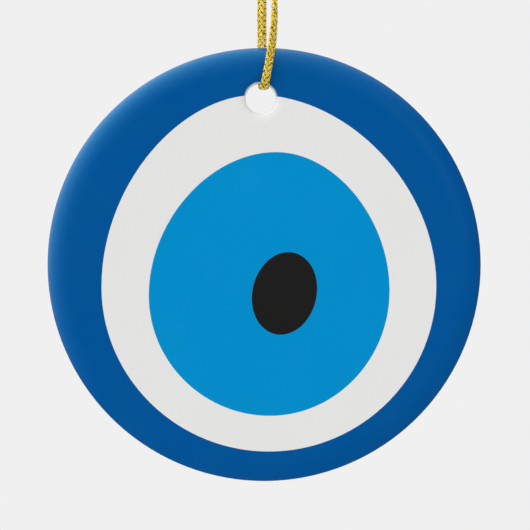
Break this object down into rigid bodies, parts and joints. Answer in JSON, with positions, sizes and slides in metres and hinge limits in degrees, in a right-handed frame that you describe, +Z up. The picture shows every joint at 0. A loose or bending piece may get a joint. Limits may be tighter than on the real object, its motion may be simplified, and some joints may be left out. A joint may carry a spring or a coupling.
{
  "type": "hanging disc ornament",
  "caption": "Round glazed porcelain ornament with a printed evil eye on its face, hung from a knotted loop of metallic braided cord.",
  "frame": {"origin": "the hook point: between the two strands, just under the knot, where a wire hook carries the ornament", "axes": "+Z up along the hanging cord, +X to the right as seen from the front, +Y from the decorated face to the plain back"},
  "size_m": [0.073, 0.0064, 0.1158],
  "materials": {
    "porcelain": "glossy white glaze",
    "navy_coat": "glossy dyed coat, navy",
    "white_coat": "glossy undyed white coat",
    "light_blue_coat": "glossy dyed coat, light blue",
    "black_coat": "glossy dyed coat, black",
    "gold_cord": "shiny metallic gold braid"
  },
  "bodies": {
    "hanger": {"cord_knot": "gold_cord", "cord_tail_left": "gold_cord", "cord_tail_right": "gold_cord"},
    "eye": {"cord_eye_front": "gold_cord", "cord_eye_back": "gold_cord"},
    "drop": {"cord_drop_front": "gold_cord", "cord_drop_back": "gold_cord"},
    "bight": {"cord_bight": "gold_cord"},
    "disc": {"porcelain_disc": "porcelain", "navy_coat": "navy_coat", "white_coat": "white_coat", "light_blue_coat": "light_blue_coat", "black_coat": "black_coat"}
  },
  "joints": [
    {"name": "sway", "type": "hinge", "parent": "hanger", "child": "eye", "pos_m": [0, 0, 0], "axis": [0, 1, 0], "range_deg": [-45, 45]},
    {"name": "swing", "type": "hinge", "parent": "eye", "child": "drop", "pos_m": [0, 0, -0.006], "axis": [1, 0, 0], "range_deg": [-45, 45]},
    {"name": "twist", "type": "hinge", "parent": "drop", "child": "bight", "pos_m": [0, 0, -0.018], "axis": [0, 0, 1], "range_deg": [-170, 170]},
    {"name": "rock", "type": "hinge", "parent": "bight", "child": "disc", "pos_m": [-0.00126, 0, -0.03855], "axis": [0, 1, 0], "range_deg": [-45, 45]}
  ]
}
